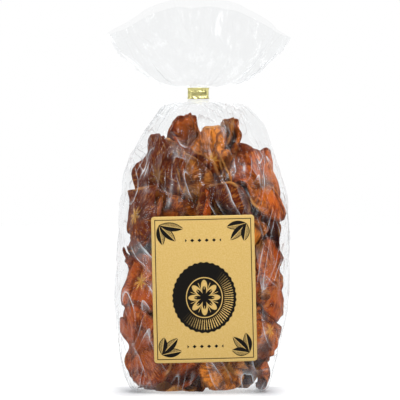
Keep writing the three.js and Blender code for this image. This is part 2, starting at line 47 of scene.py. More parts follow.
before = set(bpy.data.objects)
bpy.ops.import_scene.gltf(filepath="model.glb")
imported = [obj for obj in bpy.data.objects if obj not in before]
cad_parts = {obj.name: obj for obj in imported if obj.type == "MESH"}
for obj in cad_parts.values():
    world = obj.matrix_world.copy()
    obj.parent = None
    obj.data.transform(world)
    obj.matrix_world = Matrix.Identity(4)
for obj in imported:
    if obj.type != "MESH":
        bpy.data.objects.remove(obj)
MM = 0.001
TURN = 2 * math.pi
SLICE_NODES = sorted(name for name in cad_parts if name.startswith("persimmon_slice"))
clip_low, clip_high = (np.array(corner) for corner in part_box("clip_band"))
label_low, label_high = (np.array(corner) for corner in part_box("paper_label"))
NECK = (clip_low + clip_high) / 2
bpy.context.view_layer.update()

# Where slices are paler or darker: across and up in millimetres, by how much, and how much clearer their
# star is. Elsewhere the share CLEAR_STARS of them has a clear star.
SPOTS = (
    (8, 167, 0.6, 1.0),
    (-42, 32, -0.6, 0),
    (30, 15, 0.3, 0),
    (-52, 75, -0.5, 0),
    (-45, 120, -0.3, 0),
    (50, 60, -0.15, 0),
    (52, 112, 0.12, 0.2),
    (-18, 14, 0.35, 0),
)
SPOT_REACH = 20 * MM
STAR_RAYS = 8
CLEAR_STARS = 0.25

# Sizes of the slices' wrinkles: the ridges and the fine ones on them
RIDGE_SIZE = 24 * MM
FINE_SIZE = 6 * MM

# Turn of the label in its plane, in degrees
LABEL_TILT = 1.3

# Half the foot's width and depth on the floor, and half the floor's side
FOOT_HALF = (50 * MM, 36 * MM)
FLOOR_HALF = 12.0

# Softboxes by name: place, width and height, and watts
SOFTBOXES = {
    "left softbox": ((-0.8, -0.7, 0.45), (0.22, 0.9), 3.2),
    "right softbox": ((0.9, -0.5, 0.4), (0.18, 0.9), 2.6),
    "top softbox": ((0, -0.2, 1.1), (0.9, 0.5), 9.5),
    "front softbox": ((0.15, -1.1, 1.1), (0.5, 0.3), 7.2),
    "back softbox": ((0.1, 1.0, 0.8), (1.0, 0.5), 5.0),
}

# Triangle corners of a frame node that lie nearer than this are one point
SAME_POINT = 0.002 * MM

# Shapes and curves


def hermite(values, at, where):
    """Values at the places where, on a smooth curve through the values at the places at.

    Between two values it is the cubic that meets both with the slopes there, and a slope is the mean of the
    slopes on its two sides, each weighted by the other side's length."""
    at = np.asarray(at, float)
    gaps = np.diff(at)
    shape = (-1,) + (1,) * (values.ndim - 1)
    steps = np.diff(values, axis=0) / gaps.reshape(shape)
    before = gaps[:-1].reshape(shape)
    after = gaps[1:].reshape(shape)
    inner = (steps[:-1] * after + steps[1:] * before) / (before + after)
    slopes = np.concatenate([steps[:1], inner, steps[-1:]])
    k = np.clip(np.searchsorted(at, where, side="right") - 1, 0, len(gaps) - 1)
    gap = gaps[k].reshape(shape)
    t = ((where - at[k]) / gaps[k]).reshape(shape)
    start = (2 * t**3 - 3 * t**2 + 1) * values[k] + (t**3 - 2 * t**2 + t) * gap * slopes[k]
    end = (3 * t**2 - 2 * t**3) * values[k + 1] + (t**3 - t**2) * gap * slopes[k + 1]
    return start + end


def round_the_ring(ring, around):
    """A ring of points drawn finer: the same smooth curve, carried three points past its seam on both
    sides."""
    count = len(ring)
    wrapped = np.concatenate([ring[-3:], ring, ring[:4]])
    return hermite(wrapped, np.arange(-3, count + 4), np.arange(around) * count / around)


def drawn_round(rings, around):
    """Rings as rows of this many points each, on smooth curves. A pole is repeated."""
    return [round_the_ring(ring, around) if len(ring) > 1 else np.repeat(ring, around, 0) for ring in rings]


def run_along(rows):
    """How far each row is from the first one: the sum of the mean steps between them."""
    steps = np.linalg.norm(np.diff(rows, axis=0), axis=-1).mean(axis=1)
    return np.concatenate([[0], np.cumsum(steps)])


def waves(points, size, seed, count=18):
    """Smooth noise, about -1 to 1: the mean of sine waves of about that size that run in random
    directions."""
    draw = np.random.default_rng(seed)
    ways = draw.normal(size=(points.shape[-1], count))
    ways /= np.linalg.norm(ways, axis=0)
    ways *= TURN / size * draw.uniform(0.7, 1.35, count)
    return np.sin(points @ ways + draw.uniform(0, TURN, count)).sum(axis=-1) / math.sqrt(count)


def creases(points, size, seed):
    """Facets that meet in sharp folds: the absolute value of smooth noise, over places that are shifted by
    more."""
    shift = np.stack([waves(points, 1.7 * size, seed + 7 + axis) for axis in range(3)], axis=-1)
    return np.abs(waves(points + 0.22 * size * shift, size, seed)) - 0.5


def smooth(low, high, value):
    """0 below low, 1 above high, and the cubic that joins them between."""
    share = np.clip((value - low) / (high - low), 0, 1)
    return share * share * (3 - 2 * share)


def grid_normals(grid):
    """Unit normals of a grid whose rows are rings: the cross product of the steps along it and round it."""
    along = np.gradient(grid, axis=0)
    round_it = np.roll(grid, -1, axis=1) - np.roll(grid, 1, axis=1)
    normals = np.cross(along, round_it)
    return normals / np.maximum(np.linalg.norm(normals, axis=-1, keepdims=True), 1e-12)


def node_rings(name):
    """The points of a frame node that is a grid of rings between two poles, as a list of rings, pole to
    pole.

    The node's loose triangles are merged, and the pole is its point with the most neighbours. Each further
    ring is the neighbours of the last one, walked round, and turned so that its points lie nearest those of
    the ring before."""
    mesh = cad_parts[name].data
    mesh.calc_loop_triangles()
    corners = np.empty(len(mesh.vertices) * 3)
    mesh.vertices.foreach_get("co", corners)
    triangles = np.empty(len(mesh.loop_triangles) * 3, int)
    mesh.loop_triangles.foreach_get("vertices", triangles)
    keys = np.round(corners.reshape(-1, 3) / SAME_POINT).astype(int)
    _, first, merged = np.unique(keys, axis=0, return_index=True, return_inverse=True)
    points = corners.reshape(-1, 3)[first]
    merged = merged.reshape(-1)[triangles].reshape(-1, 3)
    near = [set() for _ in points]
    for a, b, c in merged.tolist():
        near[a] |= {b, c}
        near[b] |= {a, c}
        near[c] |= {a, b}
    sides = max(len(found) for found in near)
    poles = [k for k, found in enumerate(near) if len(found) == sides]
    pole = min(poles, key=lambda k: points[k][2])
    rings = [points[[pole]]]
    seen = {pole}
    front = near[pole]
    while len(front) == sides:
        order = [min(front)]
        while len(order) < sides:
            order.append(min(near[order[-1]] & front - set(order)))
        ring = points[order]
        last = rings[-1] if len(rings[-1]) > 1 else None
        if last is not None:
            choices = [np.roll(way, turn, axis=0) for way in (ring, ring[::-1]) for turn in range(sides)]
            ring = min(choices, key=lambda choice: np.linalg.norm(choice - last, axis=1).sum())
        rings.append(ring)
        seen |= front
        front = set().union(*(near[k] for k in front)) - seen
    rings.append(points[list(front)])
    return rings


def write_mesh(name, points, faces, values=None, fields=None):
    """A smooth-shaded object of an array of points and a list of faces. Values are numbers on its points,
    and fields are vectors on them."""
    mesh = bpy.data.meshes.new(name)
    mesh.from_pydata(points.tolist(), [], faces)
    for title, value in (values or {}).items():
        layer = mesh.attributes.new(title, "FLOAT", "POINT")
        layer.data.foreach_set("value", value.astype(np.float32).ravel())
    for title, value in (fields or {}).items():
        layer = mesh.attributes.new(title, "FLOAT_VECTOR", "POINT")
        layer.data.foreach_set("vector", value.astype(np.float32).ravel())
    mesh.polygons.foreach_set("use_smooth", np.ones(len(mesh.polygons), bool))
    mesh.update()
    piece = bpy.data.objects.new(name, mesh)
    bpy.context.scene.collection.objects.link(piece)
    return piece


def ring_faces(rows, around, first_pole, last_pole):
    """Faces of a grid of rings: an array of quads between rings, and a list of arrays of triangles at the
    poles.

    Points run ring by ring. A pole stands before the first ring and after the last one where it is asked
    for."""
    start = 1 if first_pole else 0
    row, k = np.meshgrid(np.arange(rows - 1), np.arange(around), indexing="ij")
    after = (k + 1) % around
    here = start + row * around
    corners = [here + k, here + around + k, here + around + after, here + after]
    quads = np.stack(corners, axis=-1).reshape(-1, 4)
    k = np.arange(around)
    after = (k + 1) % around
    fans = []
    if first_pole:
        fans.append(np.stack([0 * k, 1 + k, 1 + after], axis=-1))
    if last_pole:
        base = start + (rows - 1) * around
        fans.append(np.stack([base + k, base + around + 0 * k, base + after], axis=-1))
    return quads, fans


def faces_out(points, quads, fans):
    """The faces as a list, all turned round if they enclose a negative volume."""
    a, b, c = (points[quads[:, k]] for k in range(3))
    volume = np.einsum("ij,ij->i", np.cross(a, b), c).sum()
    turned = -1 if volume < 0 else 1
    return [face[::turned] for face in quads.tolist()] + [f[::turned] for fan in fans for f in fan.tolist()]


# Materials


class Wire:
    """A socket of a material that reads like a number: + - * / and powers add Math nodes."""

    def __init__(self, paint, socket):
        self.paint = paint
        self.socket = socket

    def math(self, operation, *others):
        inputs = dict(enumerate((self,) + others))
        return self.paint.node("ShaderNodeMath", {"operation": operation}, inputs)

    def __add__(self, other):
        return self.math("ADD", other)

    def __sub__(self, other):
        return self.math("SUBTRACT", other)

    def __rsub__(self, other):
        return self.math("MULTIPLY_ADD", -1.0, other)

    def __mul__(self, other):
        return self.math("MULTIPLY", other)

    def __truediv__(self, other):
        return self.math("DIVIDE", other)

    __radd__ = __add__
    __rmul__ = __mul__

    def least(self, other):
        return self.math("MINIMUM", other)

    def most(self, other):
        return self.math("MAXIMUM", other)

    def size(self):
        return self.math("ABSOLUTE")

    def sine(self):
        return self.math("SINE")

    def cosine(self):
        return self.math("COSINE")

    def root(self):
        return self.math("SQRT")

    def rising(self, low, high):
        """0 below low, 1 above high, smooth between."""
        settings = {"interpolation_type": "SMOOTHSTEP"}
        return self.paint.node("ShaderNodeMapRange", settings, {0: self, 1: low, 2: high})

    def falling(self, low, high):
        return 1 - self.rising(low, high)


class Paint:
    """Builds one material. node() adds any node: its settings are set first, then its sockets."""

    def __init__(self, name):
        self.material = bpy.data.materials.new(name)
        self.material.use_nodes = True
        self.tree = self.material.node_tree
        self.tree.nodes.clear()

    def node(self, kind, settings=None, inputs=None, output=0):
        made = self.tree.nodes.new(kind)
        for key, value in (settings or {}).items():
            setattr(made, key, value)
        for key, value in (inputs or {}).items():
            if isinstance(value, Wire):
                self.tree.links.new(value.socket, made.inputs[key])
            else:
                made.inputs[key].default_value = value
        return Wire(self, made.outputs[output]) if made.outputs else None

    def blend(self, factor, low, high):
        """The colour low where factor is 0 and high where it is 1."""
        settings = {"data_type": "RGBA", "clamp_factor": True}
        low, high = (c if isinstance(c, Wire) else (*c, 1) for c in (low, high))
        return self.node("ShaderNodeMix", settings, {0: factor, 6: low, 7: high}, 2)

    def attribute(self, name):
        """A number that write_mesh put on the points."""
        return self.node("ShaderNodeAttribute", {"attribute_name": name}, output=2)

    def vector(self, name):
        """A vector that write_mesh put on the points."""
        return self.node("ShaderNodeAttribute", {"attribute_name": name}, output=1)

    def place(self):
        """The place on the piece, in metres."""
        return self.node("ShaderNodeTexCoord", output=3)

    def split(self, vector):
        return [self.node("ShaderNodeSeparateXYZ", None, {0: vector}, k) for k in range(3)]

    def noise(self, place, per_metre, detail=3.0, rough=0.55):
        inputs = {"Vector": place, "Scale": per_metre, "Detail": detail, "Roughness": rough}
        return self.node("ShaderNodeTexNoise", None, inputs)

    def bump(self, height, distance):
        return self.node("ShaderNodeBump", None, {"Height": height, "Distance": distance, "Strength": 1.0})

    def finish(self, shader):
        self.node("ShaderNodeOutputMaterial", None, {0: shader})
        return self.material


def principled(paint, **inputs):
    """A Principled BSDF. Each input is named as its socket, in small letters with _ for a space."""
    named = {key.replace("_", " ").title().replace("Ior", "IOR"): value for key, value in inputs.items()}
    return paint.node("ShaderNodeBsdfPrincipled", None, named)


def fruit_material(look):
    """Leathery, nearly matte dried flesh. The attribute tint runs it from deep red-brown through orange-red
    to amber or tan. Fibres run out from the core, which shows a pale star with seed marks between its rays.
    The bottoms of the wrinkles and the cracks are darkened with painted shade. Most of the skin at the rim
    is dark, and painted light, standing in for light that shines through the thin rim, pales it in patches."""
    paint = Paint("dried persimmon flesh")
    place = paint.place()
    flat_x, flat_y, share = paint.split(paint.vector("slice_plane"))
    tint = paint.attribute("tint")
    relief = paint.attribute("relief")
    clear_star = paint.attribute("star")
    angle = flat_y.math("ARCTAN2", flat_x)
    patches = paint.noise(place, 45.0, 3.0)
    mottle = paint.noise(place, 300.0, 5.0, 0.65)
    radius = (flat_x * flat_x + flat_y * flat_y).root()
    spoke = radius + 0.02
    way = {0: flat_x / spoke * 5.0, 1: flat_y / spoke * 5.0, 2: radius * 1.6 + tint * 37.0}
    fibres = paint.noise(paint.node("ShaderNodeCombineXYZ", None, way), 3.6, 4.0, 0.6)

    # Tone of the slice, then its fibres
    flesh = paint.blend((patches * 0.5 - 0.3 + tint * 1.5).rising(0.0, 0.8), look.dark_flesh, look.mid_flesh)
    pale = paint.blend((tint * 7.3).math("FRACT").rising(0.3, 0.7), look.amber_flesh, look.tan_flesh)
    flesh = paint.blend((patches * 0.9 - 0.6 + tint).rising(0.25, 0.95), flesh, pale)
    flesh = paint.blend((fibres + mottle * 0.3).rising(0.64, 0.85) * 0.5, flesh, pale)
    # Dark fibre streaks, which the relief deepens a little in the bottoms of the wrinkles as painted shade
    streaks = (fibres + mottle * 0.4 + relief * 0.25).falling(0.54, 0.84)
    flesh = paint.blend(streaks * 0.8, flesh, look.dark_flesh)

    # The star at the core and its seed marks
    rays = (angle * STAR_RAYS).cosine() * 0.085 + 0.2
    flesh = paint.blend((radius - rays).falling(-0.12, 0.05) * clear_star, flesh, look.core)
    between_rays = ((angle * STAR_RAYS).cosine() * -1).rising(0.25, 0.95)
    seeds = between_rays * radius.rising(0.2, 0.27) * radius.falling(0.4, 0.5)
    flesh = paint.blend(seeds * clear_star * 0.6, flesh, look.dark_flesh)

    # Painted shade in the bottoms of the wrinkles and in the cracks, then the skin, with patches of painted
    # light shining through the thin rim
    crease_shade = (relief * 1.1 + mottle * 0.5).falling(-0.75, 0.2)
    flesh = paint.blend(crease_shade * 0.7, flesh, look.crease_shade)
    contour = (paint.noise(place, 120.0, 2.0, 0.5) * 7 + fibres * 3).math("FRACT")
    crack = contour.math("POWER", 5.0) * (patches + mottle).rising(0.8, 1.2)
    # The cracks get the same painted shade
    flesh = paint.blend(crack * 0.7, flesh, look.crease_shade)
    skin = share.rising(0.9, 0.96)
    # Painted light: patches of the dark skin are paled as if light shone through the thin rim
    skin_and_backlight = paint.blend(patches.rising(0.5, 0.7), look.skin, look.backlit_skin)
    colour = paint.blend(skin * 0.8, flesh, skin_and_backlight)
    wrinkles = paint.noise(place, 380.0, 4.0, 0.6) + fibres * 1.2 - crack * 0.8
    bump = paint.bump(wrinkles, 0.6 * MM)
    roughness = 0.38 + mottle * 0.3 - skin * 0.08
    shader = principled(
        paint,
        base_color=colour,
        roughness=roughness,
        normal=bump,
        subsurface_weight=look.subsurface,
        subsurface_radius=(1.0, 0.35, 0.12),
        subsurface_scale=2.2 * MM,
        specular_ior_level=0.03,
    )
    return paint.finish(shader)


def film_material(look):
    """Clear packing film: see-through face on, with a gloss that grows towards grazing views.

    Painted highlights lie along sharp folds, with a fainter painted sheen over flat panels between them:
    white haze that stands in for the lamps' reflections on the creased film. The film is also cloudier where
    it lies doubled over at the foot's corners, which is partly the film's own plies and partly painted shade
    round the foot. The painted highlights are calmer over the neck and near the foot."""
    paint = Paint("clear film")
    place = paint.place()
    x, y, z = paint.split(place)
    tall = paint.node("ShaderNodeCombineXYZ", None, {0: x + z * 0.2, 1: y, 2: z * 0.3})
    fine = paint.noise(tall, 60.0, 2.0)
    bump = paint.bump(fine, 0.3 * MM)

    def facet_highlight(lean, per_metre, steps, power):
        """Painted highlights of long facets that lean sideways, standing in for reflected lamplight: bright
        along a sharp crease, fading away to one side of it. More steps set them closer, and more power makes
        them narrower."""
        way = paint.node("ShaderNodeCombineXYZ", None, {0: x + z * lean, 1: y, 2: z * 0.18})
        return (paint.noise(way, per_metre, 0.0) * steps).math("FRACT").math("POWER", power)

    patchy = paint.noise(place, 38.0, 2.0).rising(0.46, 0.7)
    other = paint.noise(place, 29.0, 2.0).falling(0.3, 0.52)
    over_neck, near_foot = z.rising(0.2, 0.23), z.falling(0.03, 0.06)
    calm = 1 - over_neck * 0.85 - near_foot * 0.3
    # Painted highlights along the folds and painted sheen on the flat panels, calmer over the neck and near
    # the foot
    right_fold_highlights = facet_highlight(lean=0.5, per_metre=40.0, steps=8.0, power=12.0) * patchy
    left_fold_highlights = facet_highlight(lean=-0.35, per_metre=62.0, steps=8.0, power=12.0) * other
    folds = (right_fold_highlights + left_fold_highlights) * look.streaks
    panels = facet_highlight(lean=0.25, per_metre=26.0, steps=7.0, power=2.5) * (patchy + other) * look.panels
    # The film at the foot's corners is cloudier: partly its own plies doubled over there, partly painted
    # shade round the foot
    at_base, to_corner = z.falling(0.0, 0.013), x.size().rising(0.022, 0.045)
    corner_plies_and_shade = at_base * to_corner * 0.18
    # All the painted light on the film, with its doubled-over corners at the foot
    painted_light_and_plies = (folds + panels) * calm + corner_plies_and_shade
    weight = paint.node("ShaderNodeLayerWeight", None, {"Blend": 0.3, "Normal": bump}, 1)
    surface = {"Color": (1, 1, 1, 1), "Roughness": 0.14, "Normal": bump}
    gloss = paint.node("ShaderNodeBsdfGlossy", None, surface)
    haze = paint.node("ShaderNodeBsdfDiffuse", None, {"Color": (0.78, 0.8, 0.82, 1)})
    grazing = weight * weight * weight * look.edge_gloss
    shine = look.least_gloss + grazing * (1 - z.falling(0.0, 0.05) * 0.85)
    shown = shine + painted_light_and_plies
    hazy = (shine * (look.haze + weight * 0.3) + painted_light_and_plies) / shown
    solid = paint.node("ShaderNodeMixShader", None, {0: hazy.least(1.0), 1: gloss, 2: haze})
    clear = paint.node("ShaderNodeBsdfTransparent", None, {"Color": (0.945, 0.95, 0.952, 1)})
    return paint.finish(paint.node("ShaderNodeMixShader", None, {0: shown.least(1.0), 1: clear, 2: solid}))


def clip_material(look):
    """Gold-coloured metal with small dents."""
    paint = Paint("gold band")
    dents = paint.noise(paint.place(), 300.0, 2.0)
    bump = paint.bump(dents, 0.9 * MM)
    shader = principled(paint, base_color=(*look.colour, 1), metallic=1.0, roughness=0.3, normal=bump)
    return paint.finish(shader)


def label_material(look):
    """Golden paper with black print. The print is a dark medallion with an eight-petalled rosette left in
    paper colour on it and fine rays round it, leaf sprigs in the corners, a row of lozenges above and
    below, and a thin line all round. Lengths in it are millimetres from the label's middle."""
    paint = Paint("label paper and print")
    x, y, _ = paint.split(paint.vector("label_plane"))
    half_w, half_h = look.width / 2, look.height / 2
    medallion_drop, medallion_half_w, medallion_half_h = 6.0, 23.0, 25.5

    def line(value, half):
        """A line of this half width along which value is 0."""
        return value.size().falling(half - 0.12, half + 0.12)

    inset = ((x.size() - (half_w - look.border)).most(y.size() - (half_h - look.border)))
    border = line(inset, 0.3)

    mid_y = y + medallion_drop
    wide = x / medallion_half_w
    tall = mid_y / medallion_half_h
    reach = (wide * wide + tall * tall).root()
    turn = mid_y.math("ARCTAN2", x)
    grain = paint.noise(paint.place(), 1500.0, 2.0)
    disc = (reach + (turn * 36).cosine() * 0.012).falling(0.98, 1.005)
    petal = (turn * 4).cosine().size()
    heart = (reach - 0.12 - petal * 0.2).rising(-0.01, 0.02)
    rosette = (reach - 0.2 - petal * 0.3).falling(-0.02, 0.01) * heart
    veins = line((turn * 8).sine() * reach * 8.0, 0.5) * reach.rising(0.22, 0.25) * reach.falling(0.44, 0.46)
    rays = (turn * 72 + grain * 3.0).cosine().rising(0.2, 0.6)
    rays = rays * reach.rising(0.6, 0.66) * reach.falling(0.88, 0.93)
    shade = (turn + 0.7).cosine().rising(-0.2, 0.9)
    pale = (rosette + veins).most(rays * shade).least(1.0)
    ring = line((reach - 0.56) * 20.0, 0.28)
    medallion = disc * (1 - pale.most(ring))

    def leaf(at_x, at_y, tilt, length, width):
        """A pointed leaf from a stalk end: two arcs, with hatching on one side of its midrib."""
        c, s = math.cos(tilt), math.sin(tilt)
        dx, dy = x - at_x, y - at_y
        along = (dx * c + dy * s) / length
        across = (dy * c - dx * s) / width
        body = (along * (1 - along)) * 4 - across.size()
        inside = body.rising(-0.02, 0.05)
        rib = line(across * width, 0.22) * along.rising(0.02, 0.1)
        hatch = ((along * length * 2.6 + across.size() * 2.4).math("FRACT")).rising(0.45, 0.6)
        lit = across.rising(-0.05, 0.1) * hatch * body.rising(0.1, 0.3)
        return inside * (1 - (rib + lit).least(1.0))

    longest_leaf = 18.0
    sprigs = None
    for side in (-1, 1):
        for level in (-1, 1):
            at_x, at_y = side * (half_w - 5.5), level * (half_h - 6.0)
            inward = math.atan2(-level, -side)
            for swing, long in ((-0.62, 15.0), (0.0, 17.0), (0.62, 13.0)):
                if level > 0 and side < 0 and swing > 0:
                    long = longest_leaf
                found = leaf(at_x, at_y, inward + swing, long, 3.2)
                sprigs = found if sprigs is None else sprigs.most(found)
    lozenges = None
    for height in (half_h - 17.5, -half_h + 11.5):
        step = ((x / 5.2).math("FRACT") - 0.5).size() * 5.2 + (y - height).size() * 1.15
        row = step.falling(1.35, 1.6) * x.size().falling(12.8, 13.0)
        lozenges = row if lozenges is None else lozenges.most(row)
    ink = border.most(medallion).most(sprigs).most(lozenges)
    fibre = paint.noise(paint.place(), 1100.0, 3.0)
    paper = paint.blend(fibre.rising(0.3, 0.75), look.paper, look.paper_pale)
    edge = inset.rising(look.border * 0.55, look.border * 0.9)
    paper = paint.blend(edge * 0.35, paper, look.paper_pale)
    colour = paint.blend(ink, paper, look.ink)
    bump = paint.bump(fibre, 0.05 * MM)
    roughness = 0.62 - ink * 0.1
    shader = principled(paint, base_color=colour, roughness=roughness, normal=bump, specular_ior_level=0.05)
    return paint.finish(shader)


def floor_material(look):
    """A white floor that shines a little itself. Painted shade darkens its colour and cuts its glow round
    the foot, most at the foot's corners."""
    paint = Paint("floor")
    x, y, _ = paint.split(paint.place())
    past_x, past_y = (x.size() - FOOT_HALF[0]).most(0.0), (y.size() - FOOT_HALF[1]).most(0.0)
    # Painted shade round the foot, strongest at its corners
    contact_shade = (past_x * past_x + past_y * past_y).root().falling(0.001, 0.024)
    contact_shade = contact_shade * (x.size().rising(0.03, 0.052) * 0.85 + 0.15)
    away = (x * x + y * y).root().rising(0.12, 0.45)
    near = paint.blend(contact_shade, (look.near_glow,) * 3, (look.glow_in_contact_shade,) * 3)
    glow = paint.blend(away, near, (look.far_glow,) * 3)
    colour = paint.blend(contact_shade, look.floor, look.contact_shade)
    white = {"base_color": colour, "emission_color": glow, "emission_strength": 1.0}
    return paint.finish(principled(paint, roughness=0.7, specular_ior_level=0.2, **white))


def white_room(look):
    """A world that is white to the camera, and lights the bag from a bright backdrop and a dimmer front."""
    world = bpy.data.worlds.new("white room")
    world.use_nodes = True
    nodes, links = world.node_tree.nodes, world.node_tree.links
    seen = nodes.new("ShaderNodeBackground")
    seen.inputs[0].default_value = (1, 1, 1, 1)
    seen.inputs[1].default_value = 1.0
    light = nodes["Background"]
    light.inputs[0].default_value = (0.97, 0.98, 1.0, 1)
    way = nodes.new("ShaderNodeTexCoord")
    parts = nodes.new("ShaderNodeSeparateXYZ")
    front_to_back = nodes.new("ShaderNodeMapRange")
    for key, value in {1: -0.3, 2: 0.5, 3: look.room_front, 4: look.room_back}.items():
        front_to_back.inputs[key].default_value = value
    links.new(way.outputs["Generated"], parts.inputs[0])
    links.new(parts.outputs[1], front_to_back.inputs[0])
    links.new(front_to_back.outputs[0], light.inputs[1])
    path = nodes.new("ShaderNodeLightPath")
    mix = nodes.new("ShaderNodeMixShader")
    links.new(path.outputs["Is Camera Ray"], mix.inputs[0])
    links.new(light.outputs[0], mix.inputs[1])
    links.new(seen.outputs[0], mix.inputs[2])
    links.new(mix.outputs[0], nodes["World Output"].inputs[0])
    return world


# Sizes and colours


def colour(name, default, description):
    return FloatVectorProperty(name=name, description=description, default=default, subtype="COLOR", size=3)


def length(name, millimetres, description):
    return FloatProperty(name=name, description=description, default=millimetres * MM, unit="LENGTH")


def number(name, default, description):
    return FloatProperty(name=name, description=description, default=default)


def count(name, default, description):
    return IntProperty(name=name, description=description, default=default)


class FilmLook(bpy.types.PropertyGroup):
    around: count("Around", 380, "Points round the film")
    step: length("Step", 1.6, "Length of a row of faces")
    crumple: length("Crumple", 1.5, "Depth of the facets")
    pleat: length("Pleats", 2.2, "Depth of the pleats at the neck")
    haze: number("Haze", 0.02, "Share of haze in the gloss")
    least_gloss: number("Least gloss", 0.012, "Gloss where seen face on")
    # Strength of the painted highlights along the folds
    streaks: number("Streaks", 0.78, "Whiteness along the folds")
    # Strength of the painted sheen on the flat panels
    panels: number("Panels", 0.15, "Whiteness of the flat panels")
    edge_gloss: number("Edge gloss", 0.75, "Added gloss at grazing views")


class SliceLook(bpy.types.PropertyGroup):
    rings: count("Rings", 18, "Rings on each face")
    around: count("Around", 84, "Points round a slice")
    past_rim: number("Past rim", 0.06, "Farthest reach past the solid's rim")
    apart: number("Apart", 0.62, "Thin slices' distance, in thicknesses")
    wall_gap: length("Wall gap", 1.4, "Least gap to the film")
    flesh: number("Flesh", 0.36, "A thin slice's share of the thickness")
    wrinkle: length("Wrinkle", 0.6, "Depth of the wrinkles")
    curl: length("Curl", 1.5, "Lift of the rim")
    slip: number("Slip", 0.14, "Sideways slip of the lower one, in radii")
    least_half: length("Least half", 0.2, "Least half thickness")
    subsurface: number("Translucency", 0.08, "How far light shines through")
    dark_flesh: colour("Dark flesh", (0.115, 0.017, 0.004), "Flesh of the ripest slices")
    mid_flesh: colour("Flesh", (0.5, 0.084, 0.01), "Usual flesh")
    amber_flesh: colour("Amber flesh", (0.75, 0.235, 0.026), "Flesh where it is thin")
    tan_flesh: colour("Tan flesh", (0.58, 0.25, 0.055), "Flesh of the dullest pale slices")
    core: colour("Core", (0.88, 0.46, 0.08), "The star at the middle")
    # Colour of the painted shade in the bottoms of the wrinkles and in the cracks
    crease_shade: colour("Folds", (0.018, 0.006, 0.004), "The bottom of the wrinkles")
    skin: colour("Skin", (0.11, 0.022, 0.008), "Skin at the rim")
    # Painted light shining through the thin rim, in patches on the skin
    backlit_skin: colour("Pale skin", (0.6, 0.27, 0.07), "Lighter streaks of the skin")


class LabelLook(bpy.types.PropertyGroup):
    width: number("Width", 74.0, "Width in millimetres")
    height: number("Height", 105.0, "Height in millimetres")
    raised: length("Raised", 1.3, "Above the middle of its solid")
    border: number("Border", 2.6, "Inset of the line in millimetres")
    corner: number("Corner", 2.2, "Corner radius in millimetres")
    thickness: length("Thickness", 0.18, "Of the paper")
    set_back: length("Set back", 0.45, "Behind its solid's fit")
    ripple: length("Ripple", 0.12, "Depth of its slow waves")
    paper: colour("Paper", (0.57, 0.375, 0.112), "Paper")
    paper_pale: colour("Pale paper", (0.63, 0.44, 0.165), "Lighter fibres")
    ink: colour("Ink", (0.008, 0.007, 0.006), "Print")


class ClipLook(bpy.types.PropertyGroup):
    thickness: length("Thickness", 0.5, "Thickness of the band")
    flare: length("Flare", 0.45, "Flare of its edges")
    groove: length("Groove", 0.18, "Depth of two grooves")
    pinch: length("Pinch", 0.25, "Depth of dents by hand")
    colour: colour("Gold", (0.6, 0.55, 0.235), "The band's metal")


class StudioLook(bpy.types.PropertyGroup):
    distance: length("Distance", 1900, "From camera to bag")
    frame_height: length("Frame", 292.5, "Height that the picture holds")
    aim_x: length("Aim across", 1.2, "Beside the neck")
    aim_z: length("Aim height", 139.5, "Above the floor")
    floor: colour("Floor", (0.2, 0.2, 0.2), "The floor")
    near_glow: number("Near glow", 0.77, "Light of the floor by the bag")
    # Colour of the floor in the painted shade round the foot
    contact_shade: colour("Contact", (0.62, 0.63, 0.65), "The floor by the base's corners")
    # Glow of the floor in the painted shade round the foot
    glow_in_contact_shade: number("Contact glow", 0.0, "Light of the floor by the base")
    far_glow: number("Far glow", 0.84, "Light of the floor farther off")
    room_front: number("Front of room", 0.1, "Light from the camera's side")
    room_back: number("Back of room", 1.15, "Light from the white backdrop")


# Pieces


def dressed(piece, node, material):
    """The piece with its material, riding the one body in place of its node."""
    piece.data.materials.append(material)
    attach(piece, "root")
    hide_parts(node)
    return piece


def polar(points):
    """The angle and the distance of points about the neck's axis."""
    off = points[:, :2] - NECK[:2]
    return np.arctan2(off[:, 1], off[:, 0]), np.hypot(*off.T)


def film_wall():
    """A function that draws points in to stay inside the film.

    The film's outer rings from its foot to its neck give the radius about the neck's axis at each height
    and angle. A point past that radius less a gap is moved straight in to it, and one nearer the floor than
    the gap is lifted. Below the widest ring of its lower third the film counts as wide as there."""
    columns, levels = 180, 200
    rings = node_rings("film_bag")
    rings = [ring for ring in rings[: len(rings) // 2] if len(ring) > 1]
    heights = np.array([ring[:, 2].mean() for ring in rings])
    top = int(np.argmax(heights > clip_low[2] - 3 * MM))
    heights = heights[:top]
    angles = np.linspace(-math.pi, math.pi, columns + 1)
    radii = []
    for ring in rings[:top]:
        angle, away = polar(ring)
        order = np.argsort(angle)
        radii.append(np.interp(angles, angle[order], away[order], period=TURN))
    radii = np.array(radii)
    widest = int(np.argmax(radii.mean(axis=1)[: top // 3]))
    radii[:widest] = radii[widest]
    level_heights = np.linspace(0, heights[-1], levels)
    table = np.stack([np.interp(level_heights, heights, radii[:, k]) for k in range(columns + 1)], axis=1)

    def inside(points, gap):
        angle, away = polar(points)
        row = np.round(points[:, 2] / heights[-1] * (levels - 1)).astype(int)
        column = np.round((angle + math.pi) / TURN * columns).astype(int)
        most = table[np.clip(row, 0, levels - 1), column] - gap
        share = np.minimum(1, most / np.maximum(away, MM))
        held = points.copy()
        held[:, :2] = NECK[:2] + (points[:, :2] - NECK[:2]) * share[:, None]
        held[:, 2] = np.maximum(held[:, 2], gap)
        return held

    return inside


